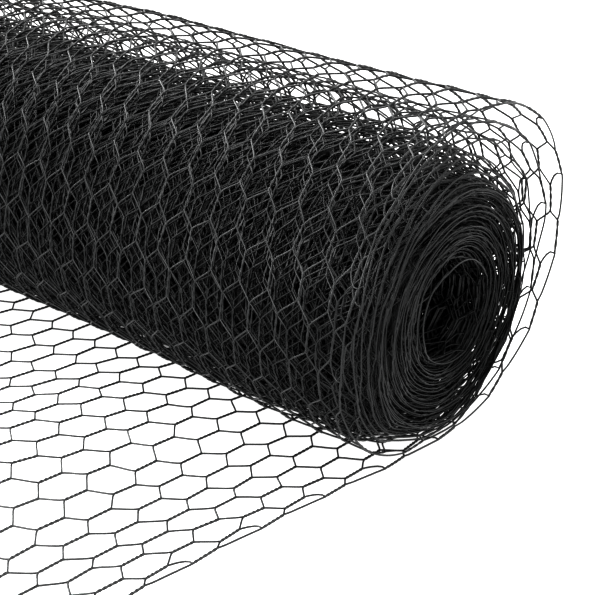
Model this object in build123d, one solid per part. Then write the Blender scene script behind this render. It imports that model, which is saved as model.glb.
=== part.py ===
from build123d import *
import os
from math import sin, cos, radians, pi

# ---------------------------------------------------------------------------
# Roll of hexagonal wire netting, PVC coated, lying on its side with a short
# length unrolled on the floor.  One length of netting, one solid.
#
#   +X  along the roll (across the netting's width)
#   -Y  the way the netting unrolls
#   +Z  up, the floor is Z = 0
#   origin: middle of the footprint, on the floor
# All dimensions in millimetres.
# ---------------------------------------------------------------------------

width = 600.0            # width of the netting = length of the roll
sheet = 2.4              # thickness of the netting at a twist (two 1.3 mm wires bedded together)
half = sheet / 2.0

# wound roll
axis_y = 119.6           # roll axis
axis_z = 99.2
bore_r = 38.0            # open centre, the netting is wound without a core
roll_r = 87.0            # outside of the firmly wound turns
turns = 30               # firmly wound turns that show as rings on each end
ring_groove = 1.4        # depth of the groove between two turns
# how far each turn's edge stands back from the end, from the bore outwards
ring_step = [2.4, 1.2, 1.8, 0.4, 1.0, 2.2, 1.4, 0.2, 0.9, 2.6, 1.6, 0.6,
             1.9, 1.1, 0.3, 2.0, 0.8, 1.5, 0.5, 1.3, 2.1, 0.7, 1.7, 0.3,
             1.2, 2.3, 0.9, 1.6, 0.7, 0.4]

# unrolled end and the three loose outer turns, as the middle line of the
# netting: straight runs and arcs that follow each other smoothly
tail_end_y = -250.7      # cut end of the netting
tail_rise_y = 130.0      # where the outermost turn leaves the floor
floor_z = half           # middle line of netting that lies on the floor
rise_r, rise_deg = 70.0, 12.0                     # bend where it leaves the floor

back1, top1, front1, under1 = 249.5, 242.0, -8.0, 4.9   # reach of the outermost turn
flat2_y = 118.0                                   # it lies flat under the roll to here
r5, r6, r7, r8 = 104.0, 111.1, 101.9, 109.2      # second turn
r9, r10, r11 = 91.0, 101.0, 86.0                  # third turn
r12, deg12 = 96.0, 82.0                           # runs into the wound roll


def loose_path():
    """Middle line: ('line', p0, p1) and ('arc', centre, r, a0, a1) items."""
    items = [("line", (tail_end_y, floor_z), (tail_rise_y, floor_z))]
    state = [tail_rise_y, floor_z, -90.0]

    def arc(r, deg):
        y, z, ang = state
        c = (y - r * cos(radians(ang)), z - r * sin(radians(ang)))
        a1 = ang + deg
        items.append(("arc", c, r, ang, a1))
        state[:] = [c[0] + r * cos(radians(a1)), c[1] + r * sin(radians(a1)), a1]

    # outermost turn: each arc is as large as its reach asks for
    arc(rise_r, rise_deg)
    arc((back1 - state[0]) / (1.0 - sin(radians(rise_deg))), 90.0 - rise_deg)
    arc(top1 - state[1], 90.0)
    arc(state[0] - front1, 90.0)
    arc(state[1] - under1, 90.0)
    items.append(("line", (state[0], state[1]), (flat2_y, state[1])))
    state[0] = flat2_y
    # second and third turn
    for r in (r5, r6, r7, r8, r9, r10, r11):
        arc(r, 90.0)
    arc(r12, deg12)
    return items


def on_arc(c, r, a, off):
    return (c[0] + (r + off) * cos(radians(a)), c[1] + (r + off) * sin(radians(a)))


def v3(p, x):
    return Vector(x, p[0], p[1])


def side_edges(items, off, x):
    """Edges of one face of the netting: off > 0 is the outer face."""
    edges = []
    for it in items:
        if it[0] == "line":
            (y0, z0), (y1, z1) = it[1], it[2]
            edges.append(Edge.make_line(v3((y0, z0 - off), x), v3((y1, z1 - off), x)))
        else:
            c, r, a0, a1 = it[1:]
            edges.append(Edge.make_three_point_arc(
                v3(on_arc(c, r, a0, off), x),
                v3(on_arc(c, r, (a0 + a1) / 2.0, off), x),
                v3(on_arc(c, r, a1, off), x)))
    return edges


# --- loose turns and unrolled end -----------------------------------------
items = loose_path()
x0 = -width / 2.0
outer = side_edges(items, half, x0)
inner = side_edges(items, -half, x0)
cap0 = Edge.make_line(outer[0] @ 0, inner[0] @ 0)
cap1 = Edge.make_line(outer[-1] @ 1, inner[-1] @ 1)
section = Face(Wire(outer + [cap1] + inner + [cap0]))
loose = Solid.extrude(section, Vector(width, 0, 0))

# --- firmly wound roll, turned about its axis ------------------------------
pitch = (roll_r - bore_r) / turns
deepest = max(ring_step)
end_out = []             # (stand-back, radius) going outwards
for k in range(turns):
    ra = bore_r + k * pitch
    end_out.append((ring_step[k] + ring_groove * 0.5, ra))
    end_out.append((ring_step[k], ra + 0.28 * pitch))
    end_out.append((ring_step[k], ra + 0.72 * pitch))
    end_out.append((ring_step[k] + ring_groove, ra + 0.98 * pitch))
end_out.append((ring_step[-1] + ring_groove, roll_r))
# every turn is as wide as the next, so the far end steps the other way
near = [(width / 2.0 - s, r) for s, r in end_out]
far = []
for i, (s, r) in enumerate(end_out):
    k = min(i // 4, turns - 1)
    own = s - ring_step[k]
    far.append((-width / 2.0 + (deepest - ring_step[k]) + own, r))
profile = near + far[::-1]
pts = [Vector(x, axis_y, axis_z + r) for x, r in profile]
clean = [pts[0]]
for p in pts[1:]:
    if (p - clean[-1]).length > 1e-4:
        clean.append(p)
turned_face = Face(Wire.make_polygon(clean, close=True))
roll = Solid.revolve(turned_face, 360.0, Axis((0, axis_y, axis_z), (1, 0, 0)))

# --- one piece -------------------------------------------------------------
netting = roll.fuse(loose)
solids = netting.solids()
if len(solids) != 1:
    raise ValueError("the netting is not one solid: %d" % len(solids))
netting = solids[0]
netting.label = "netting_roll"

os.makedirs("parts", exist_ok=True)
export_step(netting, "parts/netting_roll.step")

run = 0.0
for it in items:
    if it[0] == "line":
        run += it[2][0] - it[1][0]
    else:
        run += it[2] * radians(it[4] - it[3])
wound = pi * (roll_r ** 2 - bore_r ** 2) / pitch
bb = netting.bounding_box()
print("loose length", round(run), "wound length", round(wound), "all", round(run + wound))
print("volume mm3", round(netting.volume), "box", bb.min, bb.max, "valid", netting.is_valid)
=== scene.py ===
import math

import bpy
import numpy as np
from mathutils import Matrix, Vector


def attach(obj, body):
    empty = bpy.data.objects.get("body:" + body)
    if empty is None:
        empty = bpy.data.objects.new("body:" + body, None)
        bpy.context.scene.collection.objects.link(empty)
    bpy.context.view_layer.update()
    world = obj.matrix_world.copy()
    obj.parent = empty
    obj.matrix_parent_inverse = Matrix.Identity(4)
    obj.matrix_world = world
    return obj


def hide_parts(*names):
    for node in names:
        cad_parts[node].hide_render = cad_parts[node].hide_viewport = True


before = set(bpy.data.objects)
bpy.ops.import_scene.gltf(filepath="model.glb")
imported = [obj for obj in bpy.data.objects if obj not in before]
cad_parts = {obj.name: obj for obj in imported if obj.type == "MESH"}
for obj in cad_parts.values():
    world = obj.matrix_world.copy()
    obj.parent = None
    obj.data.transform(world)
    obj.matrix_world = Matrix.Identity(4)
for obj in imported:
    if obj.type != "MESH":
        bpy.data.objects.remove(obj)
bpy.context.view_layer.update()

rng = np.random.RandomState(20261)

# ---------------------------------------------------------------------------
# Netting: lengths in millimetres in the part's own frame, metres at the end.
#   s  along the netting, from its cut end on the floor to the bore
#   x  across the netting (the roll's axis)
#   w  off the netting's middle surface, outwards from the roll
# ---------------------------------------------------------------------------
WIDTH = 600.0
WIRE = 1.3                      # coated wire diameter
BED = 0.30                      # the wires of a twist bed into each other: each this many wires off the middle
PITCH_S = 30.97                 # one row of twists to the next
TWIST = 19.1                    # length of a twist
EDGE_JOINT = 22.0               # length of a joint with an edge wire
EDGE_STEP = 2.1                 # the edge wire steps in along each joint and out again to the next
HALF_COLS = 49                  # half columns between the two edge wires

TAIL_Y, RISE_Y = -250.7, 130.0  # cut end, and where the outermost turn rises
AXIS_Y, AXIS_Z = 119.6, 99.2
BORE_R, ROLL_R, TURNS = 38.0, 87.0, 30
LOOSE = 12                      # uneven turns between the two big loops and the wound roll

# distance from the axis by direction (degrees from +Y towards +Z), going round
# from underneath: the second turn, the third, the fourth as it starts, and how
# soon the uneven turns from there close up on the wound roll; in the middle of
# the roll, and at its ends
DIRECTION = [-90, -60, -30, 0, 10, 19, 34, 45, 56, 75, 90, 105, 120, 135, 150, 165, 180, 200, 214, 222, 230, 240, 250, 262, 270]
MIDDLE = (
    [94.3, 95.5, 100.0, 105.5, 109.5, 114.5, 121.0, 126.5, 131.0, 132.3, 132.0, 129.5, 126.5,
     123.5, 121.0, 119.5, 118.5, 117.0, 115.5, 114.2, 112.2, 105.6, 98.8, 93.9, 92.6],
    [92.6, 90.5, 90.0, 92.5, 95.5, 99.0, 106.0, 113.5, 120.5, 128.3, 128.8, 126.2, 122.5,
     119.8, 118.3, 117.4, 116.8, 115.8, 114.8, 113.8, 112.0, 105.3, 98.5, 93.6, 91.8],
    [91.8, 89.5, 88.5, 90.0, 91.5, 93.5, 98.2, 103.8, 109.2, 114.8, 116.4, 116.4, 116.0,
     115.5, 115.5, 115.6, 115.6, 115.0, 114.2, 113.4, 111.7, 105.0, 98.2, 93.2, 91.2],
    [4.0, 4.0, 3.5, 2.5, 2.2, 1.9, 1.5, 1.25, 1.08, 1.05, 1.05, 1.05, 1.05,
     1.0, 0.95, 0.85, 0.75, 0.6, 0.5, 0.46, 0.46, 0.56, 0.9, 2.4, 4.0])
AT_ENDS = (
    [94.3, 96.0, 103.0, 109.0, 113.5, 123.5, 127.0, 129.5, 133.0, 132.5, 135.0, 131.0, 125.5,
     122.5, 117.0, 115.4, 114.8, 111.0, 108.8, 107.2, 103.5, 99.0, 95.8, 93.2, 92.6],
    [92.6, 86.5, 85.2, 89.0, 95.5, 99.5, 103.0, 109.5, 112.5, 122.0, 121.5, 117.5, 113.5,
     110.0, 104.2, 102.4, 101.6, 102.5, 103.0, 102.5, 100.5, 96.5, 93.4, 92.2, 91.8],
    [91.8, 86.2, 84.5, 86.5, 87.8, 89.3, 93.0, 97.6, 99.5, 108.7, 118.0, 115.0, 109.9,
     106.5, 101.8, 100.2, 99.0, 100.5, 101.5, 101.5, 99.5, 95.5, 92.3, 91.4, 91.2],
    [4.0, 4.0, 4.0, 3.5, 3.2, 3.0, 2.8, 2.8, 2.8, 2.8, 2.8, 3.0, 3.1,
     3.8, 4.3, 4.6, 4.4, 2.2, 1.3, 1.0, 1.0, 1.2, 2.6, 4.0, 4.0])


# --- the middle line of the netting in the YZ plane -------------------------
def middle_line():
    step = 1.0
    pts = []

    def line(y0, y1, z):
        n = max(int(abs(y1 - y0) / step), 2)
        for t in np.linspace(0.0, 1.0, n, endpoint=False):
            pts.append((y0 + (y1 - y0) * t, z))

    state = [RISE_Y, WIRE, -90.0]
    marks = {}

    def arc(r, deg):
        y, z, a = state
        cy, cz = y - r * math.cos(math.radians(a)), z - r * math.sin(math.radians(a))
        n = max(int(r * math.radians(deg) / step), 4)
        for t in np.linspace(0.0, 1.0, n, endpoint=False):
            b = math.radians(a + deg * t)
            pts.append((cy + r * math.cos(b), cz + r * math.sin(b)))
        b = math.radians(a + deg)
        state[:] = [cy + r * math.cos(b), cz + r * math.sin(b), a + deg]

    line(TAIL_Y, RISE_Y, WIRE)
    marks["rise"] = len(pts)
    arc(70.0, 12.0)
    arc((249.5 - state[0]) / (1.0 - math.sin(math.radians(12.0))), 78.0)
    marks["back1"] = len(pts)
    arc(242.0 - state[1], 90.0)
    marks["top1"] = len(pts)
    arc(state[0] + 8.0, 90.0)
    marks["front1"] = len(pts)
    arc(state[1] - 4.9, 90.0)
    line(state[0], AXIS_Y, state[1])
    marks["under1"] = len(pts)

    # second and third turn, the uneven turns, then the firmly wound turns, each
    # moving from its own shape to the next one's in one time round
    def shape(j, deg, start, close):
        firm = ROLL_R - WIRE
        if j <= LOOSE:
            off = np.interp(deg, DIRECTION, start) - firm
            return firm + off * (1.0 - (j - 2.0) / (LOOSE - 1.0)) ** np.interp(deg, DIRECTION, close)
        # wound closer towards the bore
        u = (j - 1.0 - LOOSE) / (TURNS - 1.0)
        return firm - (ROLL_R - BORE_R - 2.0 * WIRE) * (1.3 * u - 0.3 * u * u)

    def radius(j, f, deg, table):
        if j < 2:
            return np.interp(deg, DIRECTION, table[j])
        r = (1.0 - f) * shape(j, deg, table[2], table[3]) + f * shape(j + 1, deg, table[2], table[3])
        # the wound turns are pressed in a little low down at the back
        flat = min(max((j + f - LOOSE + 1.0) / 2.0, 0.0), 1.0)
        return r - 5.5 * flat * math.exp(-((deg + 38.0) / 14.0) ** 2) * (r - BORE_R) / (ROLL_R - BORE_R)

    at_end = [0.0] * len(pts)
    th = -90.0
    last = -90.0 + 360.0 * (1 + LOOSE + TURNS - 0.65)
    while th < last:
        j = int((th + 90.0) // 360.0)
        f = (th + 90.0) / 360.0 - j
        if j == 1 and "under2" not in marks:
            marks["under2"] = len(pts)
        if j == 1 + LOOSE and "wound" not in marks:
            marks["wound"] = len(pts)
        deg = -90.0 + 360.0 * f
        r = radius(j, f, deg, MIDDLE)
        at_end.append(radius(j, f, deg, AT_ENDS) - r)
        a = math.radians(deg)
        pts.append((AXIS_Y + r * math.cos(a), AXIS_Z + r * math.sin(a)))
        th += math.degrees(step / r)
    return np.array(pts), marks, np.array(at_end)


LINE, MARK, AT_END = middle_line()


def soften(p, times):
    for _ in range(times):
        q = p.copy()
        q[1:-1] = 0.25 * p[:-2] + 0.5 * p[1:-1] + 0.25 * p[2:]
        p = q
    return p


LINE = soften(LINE, 120)
SEG = np.hypot(*np.diff(LINE, axis=0).T)
ARC = np.concatenate([[0.0], np.cumsum(SEG)])
TAN = np.gradient(LINE, ARC, axis=0)
TAN = soften(TAN, 20)
TAN /= np.linalg.norm(TAN, axis=1)[:, None]
S_END = ARC[-1]
S_AT = {k: float(ARC[min(v, len(ARC) - 1)]) for k, v in MARK.items()}
S_AT["end"] = float(S_END)
# the lower front of the loose turns, by direction from the axis
LOW_FRONT = np.degrees(np.arctan2(LINE[:, 1] - AXIS_Z, LINE[:, 0] - AXIS_Y)) % 360.0
LOW_FRONT = np.exp(-((LOW_FRONT - 224.0) / 20.0) ** 2) * ((ARC > S_AT["top1"]) & (ARC < S_AT["wound"]))
# how much further out each point lies at the ends of the roll than in its middle
AT_END = soften(AT_END, 60)


def place(s):
    """Point on the middle line and the outward normal there, at length s."""
    y = np.interp(s, ARC, LINE[:, 0])
    z = np.interp(s, ARC, LINE[:, 1])
    ty = np.interp(s, ARC, TAN[:, 0])
    tz = np.interp(s, ARC, TAN[:, 1])
    return y, z, tz, -ty


# --- smooth noise ------------------------------------------------------------
class Smooth:
    def __init__(self, du, dv, nu=64, nv=64):
        self.g = rng.uniform(-1.0, 1.0, (nu, nv))
        self.du, self.dv = du, dv

    def __call__(self, u, v):
        u, v = np.asarray(u) / self.du, np.asarray(v) / self.dv
        iu, iv = np.floor(u).astype(int), np.floor(v).astype(int)
        fu, fv = u - iu, v - iv
        fu, fv = fu * fu * (3 - 2 * fu), fv * fv * (3 - 2 * fv)
        nu, nv = self.g.shape
        a = self.g[iu % nu, iv % nv]
        b = self.g[(iu + 1) % nu, iv % nv]
        c = self.g[iu % nu, (iv + 1) % nv]
        d = self.g[(iu + 1) % nu, (iv + 1) % nv]
        return (a * (1 - fu) + b * fu) * (1 - fv) + (c * (1 - fu) + d * fu) * fv


drift_s = Smooth(170.0, 140.0, 128)
drift_x = Smooth(190.0, 120.0, 128)
drift_s2 = Smooth(60.0, 55.0, 256)
drift_x2 = Smooth(60.0, 55.0, 256)
bulge_a = Smooth(210.0, 190.0, 128)
bulge_b = Smooth(70.0, 60.0, 256)
bulge_c = Smooth(38.0, 40.0, 512, 64)
edge_a = Smooth(95.0, 1000.0, 256, 4)
edge_b = Smooth(260.0, 1000.0, 64, 4)
ring_a = Smooth(115.0, 1000.0, 512, 4)


def step01(v, a, b):
    t = np.clip((v - a) / (b - a), 0.0, 1.0)
    return t * t * (3.0 - 2.0 * t)


def column_x(c):
    """Distance across for half column c: the two at each edge are drawn in."""
    c = np.asarray(c, float)
    ins = np.array([0.0, 9.0, 18.5, 31.0])
    inner = (WIDTH - WIRE - 2 * ins[3]) / (HALF_COLS - 6)
    lo = np.interp(np.minimum(c, 3.0), [0, 1, 2, 3], ins)
    hi = np.interp(np.minimum(HALF_COLS - c, 3.0), [0, 1, 2, 3], ins)
    mid = ins[3] + (c - 3.0) * inner
    d = np.where(c <= 3.0, lo, np.where(c >= HALF_COLS - 3.0, (WIDTH - WIRE) - hi, mid))
    return WIDTH / 2.0 - WIRE / 2.0 - d


# --- lattice of twists -------------------------------------------------------
ROW0 = -8
S_ZERO = -TAIL_Y                          # row 0 lies at Y = 0 on the floor
N_ROWS = int((S_END - 14.0 - S_ZERO) / PITCH_S) - ROW0
rows = np.arange(ROW0, ROW0 + N_ROWS + 1)
S_row = S_ZERO + PITCH_S * rows           # (R,)
cols = np.arange(0, HALF_COLS + 1)
RR, CC = len(rows), len(cols)
jit_s = rng.normal(0.0, 0.7, (RR, CC))
jit_x = rng.normal(0.0, 0.6, (RR, CC))
jit_lean = rng.normal(0.0, 0.5, (RR, CC))
jit_len = rng.normal(0.0, 0.8, (RR, CC))
jit_w = rng.normal(0.0, 0.30, (RR, CC))
jit_x[:, 0] = jit_x[:, -1] = 0.0
jit_lean[:, 0] = jit_lean[:, -1] = 0.0
jit_w[:, 0] = jit_w[:, -1] = 0.0

# the unrolled end waves a little: crests and hollows run towards the roll and
# die out under it, and the edge columns are pulled in where it lifts
SEEN_X = 231.0
PULL_X = np.array([-69.0, -58.0, -45.0, -30.0, -5.0, 20.0, 45.0, 75.0, 110.0, 150.0, 190.0, 300.0])
PULL = np.array([-2.85, -2.27, -1.54, -1.05, 0.2, 0.83, 1.48, 0.33, -0.62, 0.19, -0.42, -1.0])


def tail_wave(s, x):
    """Along, across and height of the unrolled end's unevenness."""
    y = s + TAIL_Y
    u = x - SEEN_X
    v = np.clip((y + 60.0) / 100.0, -2.0, 2.2)
    fade = 1.0 - step01(y, 40.0, RISE_Y)
    amp = np.maximum(3.6 - 2.34 * v - 0.49 * v * v, 0.0)
    h = amp * np.cos(2.0 * math.pi * (u + 130.3) / 218.0) - 0.41 - 0.64 * v
    pull = np.interp(-u, PULL_X, PULL) * (1.0 - 0.54 * step01(y, -20.0, 70.0))
    dx = 0.78 * pull + 0.21 * v + 0.28 * v * v
    ds = 0.62 * pull
    # a hollow can't go below the floor: the mesh slides there instead
    under = np.minimum(h + 0.6, 0.0)
    dx = dx - 1.575 * under
    ds = ds + 1.98 * under
    return ds * fade, dx * fade, np.maximum(h, -0.6) * fade


TOP_AT = np.array([0.0, 50.0, 110.0, 170.0, 210.0, 255.0, 305.0, 360.0, 410.0, 455.0, 520.0, 600.0])
TOP_UP = np.array([2.0, 2.6, 1.6, 1.2, 1.6, 2.0, 2.8, 2.6, 0.5, -2.5, -4.0, -4.0])


def warp(s, x):
    """Slow unevenness of the netting: along, across and off its surface."""
    edge = step01(WIDTH / 2.0 - np.abs(x), 0.0, 45.0)
    flat = 1.0 - step01(s, S_AT["rise"] - 60.0, S_AT["rise"] + 60.0)
    calm = 1.0 - 0.85 * flat
    shift = 5.5 * step01(s, S_AT["rise"] - 30.0, S_AT["rise"] + 60.0)
    ds = shift + (2.2 * drift_s(s, x + 900.0) + 1.1 * drift_s2(s, x + 900.0)) * calm
    dx = (2.0 * drift_x(s, x + 900.0) + 0.6 * drift_x2(s, x + 900.0)) * edge * calm
    wound = step01(s, S_AT["wound"] - 300.0, S_AT["wound"] + 260.0)
    inner = step01(s, S_AT["under1"] - 200.0, S_AT["under1"] + 300.0)
    # turns have slipped a little sideways on each other
    dx = dx + inner * (2.2 * edge_a(s, 10.0) + 3.2 * edge_b(s, 10.0) - 2.6)
    # and between the ends the mesh of one turn is pulled to and fro over the next
    mid = step01(WIDTH / 2.0 - np.abs(x), 0.0, 160.0)
    front2 = 0.2 * S_AT["under1"] + 0.8 * S_AT["under2"]
    dx = dx + inner * mid * 6.0 * np.cos((s - front2) * (2.0 * np.pi / 1700.0))
    # and those just outside the last turn have slid in along the bore
    dx = dx - 4.5 * (step01(s, S_END - 1900.0, S_END - 1450.0) - step01(s, S_END - 430.0, S_END - 230.0))
    loose = (1.0 - wound) * step01(s, S_AT["rise"] - 10.0, S_AT["rise"] + 120.0)
    size = 1.0 - 0.45 * inner
    dw = loose * size * (1.6 * bulge_a(s, x + 900.0) + 0.6 * bulge_b(s, x + 900.0))
    dw = dw + wound * 0.75 * bulge_c(s, x + 900.0)
    ends = 1.0 - step01(WIDTH / 2.0 - np.abs(x), 4.0, 52.0)
    dw = dw + wound * ends * 1.3 * ring_a(s, 10.0)
    # away from the near end the loose turns lie closer at the lower front
    away = step01(WIDTH / 2.0 - x, 20.0, 330.0)
    first = 1.0 - step01(s, S_AT["under1"] - 40.0, S_AT["under1"] + 40.0)
    dw = dw - (1.2 * first + 1.5 * away) * np.interp(s, ARC, LOW_FRONT)
    # its top rises and falls along the roll
    crest = 0.4 * S_AT["back1"] + 0.6 * S_AT["top1"]
    top = np.interp(WIDTH / 2.0 - x, TOP_AT, TOP_UP)
    dw = dw + top * np.exp(-((s - crest) / 170.0) ** 2)
    # towards the ends the second and the uneven turns lie as they do there
    low = np.interp(s, ARC, LOW_FRONT)
    dw = dw + (1.0 - step01(WIDTH / 2.0 - np.abs(x), 4.0, 52.0 - 26.0 * low)) * np.interp(s, ARC, AT_END)
    # the second turn stands higher away from the near end
    crest2 = 0.58 * S_AT["under1"] + 0.42 * S_AT["under2"]
    dw = dw + 2.2 * step01(WIDTH / 2.0 - x, 60.0, 420.0) * np.exp(-((s - crest2) / 120.0) ** 2)
    ts, tx, th = tail_wave(s, x)
    return ds + ts, dx + tx, dw - th


def to_space(s, x, w):
    """Netting coordinates to metres, and the outward normal."""
    ds, dx, dw = warp(s, x)
    s2 = np.clip(s + ds * step01(s, 0.0, 30.0), 0.0, S_END)
    y, z, ny, nz = place(s2)
    w2 = w + dw
    y, z = y + ny * w2, z + nz * w2
    z = np.maximum(z, WIRE / 2.0)
    p = np.stack([x + dx, y, z], -1) * 0.001
    n = np.stack([np.zeros_like(ny), ny, nz], -1)
    return p, n


# --- one run of every wire between two rows ----------------------------------
def wire_runs(wires, i0, i1, nt, ns, turns):
    """Middle lines of the given wires from row index i0 to i1 (inclusive), in
    netting coordinates: (wires, points) arrays of s, x, w."""
    S, X, W = [], [], []
    off = WIRE * BED
    tw = np.linspace(0.0, 1.0, nt + 1)
    sl = np.linspace(0.0, 1.0, ns + 1)[1:-1]
    b0, b1, b2, b3 = (1 - sl) ** 3, 3 * sl * (1 - sl) ** 2, 3 * sl ** 2 * (1 - sl), sl ** 3
    for k in wires:                         # -1 and HALF_COLS are the edge wires
        s_all, x_all, w_all = [], [], []
        prev = None
        for i in range(i0, i1 + 1):
            if k == -1:
                c, side, joined = 0, -1.0, rows[i] % 2 == 0
            elif k == HALF_COLS:
                c, side, joined = HALF_COLS, 1.0, (rows[i] + HALF_COLS) % 2 == 0
            else:
                c = k if (rows[i] + k) % 2 == 0 else k + 1
                side = 1.0 if c == k else -1.0
                joined = True
            # side: +1 keeps to the far side of the twist (larger c), -1 to the near
            at_edge = c in (0, HALF_COLS) and joined
            ln = ((EDGE_JOINT if at_edge else TWIST) + jit_len[i, c]) / 2.0
            sc = S_row[i] + jit_s[i, c]
            xc = column_x(c) + jit_x[i, c]
            lean = jit_lean[i, c]
            inward = -1.0 if c < HALF_COLS / 2 else 1.0
            if at_edge:
                sc, xc, lean = sc + 2.0, xc + inward * EDGE_STEP / 2.0, inward * EDGE_STEP / 2.0
            elif c in (1, HALF_COLS - 1):
                sc, lean = sc - 0.9, lean + inward * 0.65
            s = sc + (tw * 2.0 - 1.0) * ln
            if joined:
                ph = tw * 2.0 * math.pi * turns
                x = xc - side * off * np.cos(ph) + lean * (tw * 2.0 - 1.0)
                w = side * off * np.sin(ph) + jit_w[i, c]
            else:
                # the edge wire alone, on its way out to the next joint
                x = xc - side * off + inward * EDGE_STEP * (22.0 - (s - S_row[i])) / 40.0
                w = np.zeros_like(s)
            if prev is not None:
                p_s, p_x, p_w = prev
                ds, dx = s[0] - p_s, x[0] - p_x
                # leaves one twist along it, crosses, and enters the next along it;
                # it runs past the start of an edge joint and turns square into it
                s1, x1, s2, x2 = 0.20, 0.08, 0.20, 0.08
                if k not in (-1, HALF_COLS) and at_edge:
                    s1, x1, s2, x2 = 0.55, 0.12, -0.20, 0.45
                s_all.append(b0 * p_s + b1 * (p_s + s1 * ds) + b2 * (s[0] - s2 * ds) + b3 * s[0])
                x_all.append(b0 * p_x + b1 * (p_x + x1 * dx) + b2 * (x[0] - x2 * dx) + b3 * x[0])
                w_all.append(p_w + (w[0] - p_w) * sl)
            s_all.append(s); x_all.append(x); w_all.append(w)
            prev = s[-1], x[-1], w[-1]
        S.append(np.concatenate(s_all)); X.append(np.concatenate(x_all)); W.append(np.concatenate(w_all))
    return np.array(S), np.array(X), np.array(W)


def tube_data(P, N, sides, radius, strip0, strips):
    """Closed tubes along the rows of points P, with surface normals N: points,
    four-sided faces, end faces and their map coordinates."""
    n_w, n_p = P.shape[:2]
    T = np.empty_like(P)
    T[:, 1:-1] = P[:, 2:] - P[:, :-2]
    T[:, 0] = P[:, 1] - P[:, 0]
    T[:, -1] = P[:, -1] - P[:, -2]
    T /= np.maximum(np.linalg.norm(T, axis=-1, keepdims=True), 1e-12)
    B = np.cross(T, N)
    B /= np.maximum(np.linalg.norm(B, axis=-1, keepdims=True), 1e-12)
    M = np.cross(B, T)
    ang = np.arange(sides) * 2.0 * math.pi / sides + math.pi / 2.0
    # sized so that a tube with few sides looks as thick as the round wire
    r = radius * math.pi / (sides * math.sin(math.pi / sides))
    ring = (np.cos(ang)[:, None] * B[:, :, None, :] + np.sin(ang)[:, None] * M[:, :, None, :]) * r
    V = (P[:, :, None, :] + ring).reshape(-1, 3)
    w_i, p_i, s_i = np.meshgrid(np.arange(n_w), np.arange(n_p - 1), np.arange(sides), indexing="ij")

    def vid(w, p, s):
        return (w * n_p + p) * sides + s % sides

    quads = np.stack([vid(w_i, p_i, s_i), vid(w_i, p_i, s_i + 1), vid(w_i, p_i + 1, s_i + 1), vid(w_i, p_i + 1, s_i)], -1).reshape(-1, 4)
    base = np.arange(n_w) * n_p * sides
    first = base[:, None] + np.arange(sides)[::-1]
    last = base[:, None] + (n_p - 1) * sides + np.arange(sides)
    ends = np.concatenate([first, last])
    # one strip of the map for each wire: along it and round it
    u0 = np.arange(n_p) / (n_p - 1.0)

    def strip(w, u, v):
        return np.stack([0.004 + 0.992 * u, (strip0 + w + 0.08 + 0.84 * v) / strips], -1)

    q_uv = np.stack([
        strip(w_i, u0[p_i], s_i / sides), strip(w_i, u0[p_i], (s_i + 1) / sides),
        strip(w_i, u0[p_i + 1], (s_i + 1) / sides), strip(w_i, u0[p_i + 1], s_i / sides)], -2).reshape(-1, 2)
    e_w = np.concatenate([np.arange(n_w), np.arange(n_w)])
    e_u = np.concatenate([np.zeros(n_w), np.ones(n_w)])
    t = np.arange(sides) / sides
    e_uv = np.stack([
        (0.002 + 0.996 * e_u[:, None] + 0.0015 * np.cos(2 * math.pi * t)[None, :]),
        (strip0 + e_w[:, None] + 0.5 + 0.3 * np.sin(2 * math.pi * t)[None, :]) / strips], -1).reshape(-1, 2)
    return V, quads, ends, q_uv, e_uv


def joined(name, parts):
    """One mesh object from several sets of tubes."""
    V = np.concatenate([p[0] for p in parts])
    loops, sizes, smooth, uvs = [], [], [], []
    shift = 0
    for v, quads, ends, q_uv, e_uv in parts:
        loops += [(quads + shift).ravel(), (ends + shift).ravel()]
        sizes += [np.full(len(quads), 4), np.full(len(ends), ends.shape[1])]
        smooth += [np.ones(len(quads), bool), np.zeros(len(ends), bool)]
        uvs += [q_uv, e_uv]
        shift += len(v)
    loops = np.concatenate(loops).astype(np.int32)
    sizes = np.concatenate(sizes)
    start = np.concatenate([[0], np.cumsum(sizes)[:-1]]).astype(np.int32)
    me = bpy.data.meshes.new(name)
    me.vertices.add(len(V))
    me.vertices.foreach_set("co", V.astype(np.float32).ravel())
    me.loops.add(len(loops))
    me.loops.foreach_set("vertex_index", loops)
    me.polygons.add(len(sizes))
    me.polygons.foreach_set("loop_start", start)
    me.polygons.foreach_set("use_smooth", np.concatenate(smooth))
    me.update(calc_edges=True)
    me.validate(verbose=False)
    uv = me.uv_layers.new(name="OFBake")
    uv.data.foreach_set("uv", np.concatenate(uvs).astype(np.float32).ravel())
    ob = bpy.data.objects.new(name, me)
    bpy.context.scene.collection.objects.link(ob)
    return ob, int((sizes - 2).sum())


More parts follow.
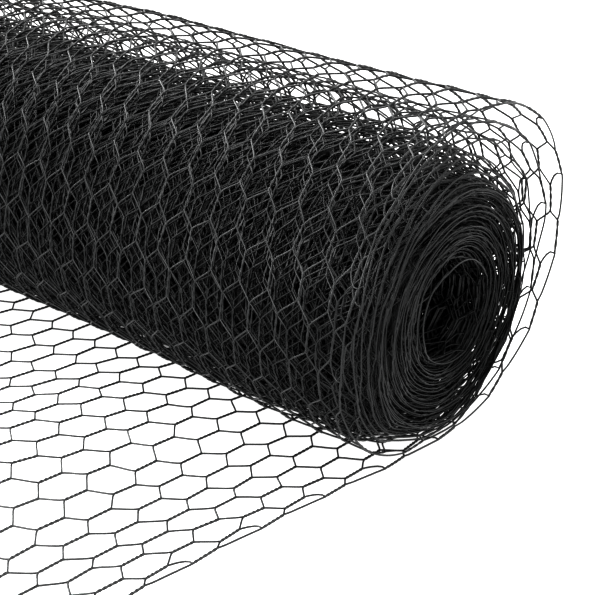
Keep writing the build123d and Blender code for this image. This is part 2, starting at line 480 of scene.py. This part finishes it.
# --- coated wire --------------------------------------------------------------
def coated_wire():
    mat = bpy.data.materials.new("coated_wire")
    mat.use_nodes = True
    nt = mat.node_tree
    nt.nodes.clear()
    out = nt.nodes.new("ShaderNodeOutputMaterial")
    b = nt.nodes.new("ShaderNodeBsdfPrincipled")
    nt.links.new(b.outputs["BSDF"], out.inputs["Surface"])
    tc = nt.nodes.new("ShaderNodeTexCoord")
    big = nt.nodes.new("ShaderNodeTexNoise")
    big.inputs["Scale"].default_value = 38.0
    big.inputs["Detail"].default_value = 4.0
    nt.links.new(tc.outputs["Object"], big.inputs["Vector"])
    ramp = nt.nodes.new("ShaderNodeValToRGB")
    ramp.color_ramp.elements[0].position = 0.30
    ramp.color_ramp.elements[0].color = (0.0125, 0.0134, 0.0137, 1.0)
    ramp.color_ramp.elements[1].position = 0.75
    ramp.color_ramp.elements[1].color = (0.0270, 0.0283, 0.0286, 1.0)
    nt.links.new(big.outputs["Fac"], ramp.inputs["Fac"])
    nt.links.new(ramp.outputs["Color"], b.inputs["Base Color"])
    fine = nt.nodes.new("ShaderNodeTexNoise")
    fine.inputs["Scale"].default_value = 420.0
    fine.inputs["Detail"].default_value = 3.0
    nt.links.new(tc.outputs["Object"], fine.inputs["Vector"])
    rough = nt.nodes.new("ShaderNodeMapRange")
    rough.inputs["From Min"].default_value = 0.25
    rough.inputs["From Max"].default_value = 0.75
    rough.inputs["To Min"].default_value = 0.25
    rough.inputs["To Max"].default_value = 0.40
    nt.links.new(fine.outputs["Fac"], rough.inputs["Value"])
    nt.links.new(rough.outputs["Result"], b.inputs["Roughness"])
    grain = nt.nodes.new("ShaderNodeTexNoise")
    grain.inputs["Scale"].default_value = 1500.0
    grain.inputs["Detail"].default_value = 2.0
    nt.links.new(tc.outputs["Object"], grain.inputs["Vector"])
    bump = nt.nodes.new("ShaderNodeBump")
    bump.inputs["Strength"].default_value = 0.12
    bump.inputs["Distance"].default_value = 0.0001
    nt.links.new(grain.outputs["Fac"], bump.inputs["Height"])
    nt.links.new(bump.outputs["Normal"], b.inputs["Normal"])
    b.inputs["Specular IOR Level"].default_value = 0.60
    return mat


WIRE_MAT = coated_wire()


# --- pieces -------------------------------------------------------------------
def row_at(s):
    return int(np.clip(round((s - S_row[0]) / PITCH_S), 0, RR - 1))


ALL = list(range(-1, HALF_COLS + 1))
EDGES = [k for k in ALL if k < 1 or k > HALF_COLS - 2]
INNER = [k for k in ALL if 1 <= k <= HALF_COLS - 2]
r_tail, r_one, r_two = row_at(S_AT["rise"]), row_at(S_AT["under1"]), row_at(S_AT["under2"])
r_firm, r_end = row_at(S_AT["wound"]), RR - 1
r_mid = (r_two + r_firm) // 2
r_down = row_at(0.65 * S_AT["top1"] + 0.35 * S_AT["front1"])
r_bore = r_end - 30
cut = np.linspace(r_firm, r_bore, 4).round().astype(int)
# name, and for each set of wires: wires, rows, points in a twist, in a slant,
# sides of the tube, turns of the twist, and thickness: the wires inside the
# wound turns are thicker, as their tubes are simpler, and those on its ends and
# on the front of the outermost turn are finer
plan = [
    ("netting_unrolled", [(ALL, 0, r_tail, 14, 5, 5, 2.5, 1.03)]),
    ("netting_outer_turn", [(ALL, r_tail, r_down, 9, 4, 4, 1.5, 1.07), (ALL, r_down, r_one, 9, 4, 4, 1.5, 0.95)]),
    ("netting_second_turn", [(ALL, r_one, r_two, 6, 4, 3, 1.0, 1.0)]),
    ("netting_loose_a", [(ALL, r_two, r_mid, 3, 2, 3, 1.0, 0.95)]),
    ("netting_loose_b", [(ALL, r_mid, r_firm, 3, 2, 3, 1.0, 0.95)]),
]
for n in range(3):
    plan.append(("netting_wound_" + "abc"[n], [
        (EDGES, cut[n], cut[n + 1], 4, 2, 3, 1.0, 0.74),
        (INNER, cut[n], cut[n + 1], 1, 1, 3, 1.0, (1.7, 2.2, 2.2)[n])]))
plan.append(("netting_bore_turns", [(ALL, r_bore, r_end, 4, 2, 3, 1.0, 1.0)]))
total = 0
counts = {}
for name, sets in plan:
    parts = []
    strips = sum(len(st[0]) for st in sets)
    at = 0
    for wires, i0, i1, nt_, ns_, sides, turns, thick in sets:
        S, X, W = wire_runs(wires, i0, i1, nt_, ns_, turns)
        if i0 == 0:
            # cut end: the last twists are cut through
            keep = nt_ // 2
            S, X, W = S[:, keep:], X[:, keep:], W[:, keep:]
        P, N = to_space(S, X, W)
        parts.append(tube_data(P, N, sides, WIRE * 0.0005 * thick, at, strips))
        at += len(wires)
    ob, tris = joined(name, parts)
    ob.data.materials.append(WIRE_MAT)
    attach(ob, "root")
    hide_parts("netting_roll")
    counts[name] = tris
    total += tris
print("rows", RR, "length", round(S_END), "marks", {k: round(v) for k, v in S_AT.items()})
print("triangles", counts, "all", int(total))

# --- stage ---------------------------------------------------------------------
def floor():
    me = bpy.data.meshes.new("floor")
    h = 30.0
    me.from_pydata([(-h, -h, 0), (h, -h, 0), (h, h, 0), (-h, h, 0)], [], [(0, 1, 2, 3)])
    ob = bpy.data.objects.new("floor", me)
    ob.location.z = -0.0006
    bpy.context.scene.collection.objects.link(ob)
    mat = bpy.data.materials.new("floor")
    mat.use_nodes = True
    nt = mat.node_tree
    b = nt.nodes["Principled BSDF"]
    b.inputs["Base Color"].default_value = (0.3, 0.3, 0.3, 1.0)
    b.inputs["Roughness"].default_value = 0.9
    b.inputs["Specular IOR Level"].default_value = 0.0
    b.inputs["Emission Strength"].default_value = 1.0
    # white, with a painted shadow of the roll darkening it under the roll
    tc = nt.nodes.new("ShaderNodeTexCoord")
    sep = nt.nodes.new("ShaderNodeSeparateXYZ")
    nt.links.new(tc.outputs["Object"], sep.inputs["Vector"])
    shade = None
    for axis, a, b0 in (("X", 0.278, 0.250), ("X", -0.305, -0.270), ("Y", 0.076, 0.094), ("Y", 0.205, 0.165)):
        mr = nt.nodes.new("ShaderNodeMapRange")
        mr.inputs["From Min"].default_value = a
        mr.inputs["From Max"].default_value = b0
        nt.links.new(sep.outputs[axis], mr.inputs["Value"])
        if shade is None:
            shade = mr.outputs["Result"]
        else:
            mul = nt.nodes.new("ShaderNodeMath")
            mul.operation = "MULTIPLY"
            nt.links.new(shade, mul.inputs[0])
            nt.links.new(mr.outputs["Result"], mul.inputs[1])
            shade = mul.outputs["Value"]
    # painted shadow: the emission goes from white to near black under the roll
    ramp = nt.nodes.new("ShaderNodeValToRGB")
    ramp.color_ramp.elements[0].color = (1.0, 1.0, 1.0, 1.0)
    ramp.color_ramp.elements[1].color = (0.02, 0.02, 0.02, 1.0)
    nt.links.new(shade, ramp.inputs["Fac"])
    nt.links.new(ramp.outputs["Color"], b.inputs["Emission Color"])
    me.materials.append(mat)


floor()

world = bpy.data.worlds.new("studio")
bpy.context.scene.world = world
world.use_nodes = True
# bright surroundings, dimmer on the side that the near end faces
wt = world.node_tree
w_tc = wt.nodes.new("ShaderNodeTexCoord")
w_sep = wt.nodes.new("ShaderNodeSeparateXYZ")
wt.links.new(w_tc.outputs["Generated"], w_sep.inputs["Vector"])
w_ramp = wt.nodes.new("ShaderNodeValToRGB")
w_ramp.color_ramp.elements[0].position = 0.10
w_ramp.color_ramp.elements[0].color = (1.0, 1.0, 1.0, 1.0)
w_ramp.color_ramp.elements[1].position = 0.80
w_ramp.color_ramp.elements[1].color = (0.55, 0.55, 0.55, 1.0)
wt.links.new(w_sep.outputs["X"], w_ramp.inputs["Fac"])
wt.links.new(w_ramp.outputs["Color"], wt.nodes["Background"].inputs["Color"])
wt.nodes["Background"].inputs["Strength"].default_value = 2.1


def soft_light(name, loc, target, size, power):
    la = bpy.data.lights.new(name, "AREA")
    la.shape = "SQUARE"
    la.size = size
    la.energy = power
    ob = bpy.data.objects.new(name, la)
    ob.location = loc
    d = Vector(target) - Vector(loc)
    ob.rotation_euler = d.to_track_quat("-Z", "Y").to_euler()
    bpy.context.scene.collection.objects.link(ob)
    return ob


soft_light("top_light", (-0.5, -0.1, 2.0), (0.0, 0.1, 0.1), 1.4, 43.0)
soft_light("side_light", (-2.0, -0.15, 0.95), (0.0, 0.1, 0.15), 1.0, 62.0)
soft_light("front_light", (0.2, -0.27, 0.26), (0.2, -0.2, 0.0), 0.2, 1.2)

# --- camera: the photograph's viewpoint ------------------------------------------
cam = bpy.data.cameras.new("camera")
cam.sensor_width = 36.0
cam.sensor_fit = "HORIZONTAL"
cam.lens = 36.0 * 1433.151 / 595.0
cam.clip_start = 0.01
cam.clip_end = 200.0
cam_ob = bpy.data.objects.new("camera", cam)
right = Vector((0.76301854, 0.64236021, 0.07194489))
down = Vector((0.28841241, -0.23873185, -0.92726770))
fwd = Vector((-0.57846434, 0.72827224, -0.36742149))
up, back = -down, -fwd
m = Matrix(((right.x, up.x, back.x), (right.y, up.y, back.y), (right.z, up.z, back.z))).to_4x4()
m.translation = Vector((0.55685589 + 0.231, -0.67372351, 0.46596879))
cam_ob.matrix_world = m
bpy.context.scene.collection.objects.link(cam_ob)
bpy.context.scene.camera = cam_ob

bpy.context.scene.view_settings.view_transform = "Standard"
bpy.context.scene.view_settings.look = "None"
bpy.context.scene.view_settings.gamma = 0.65

bpy.context.view_layer.update()
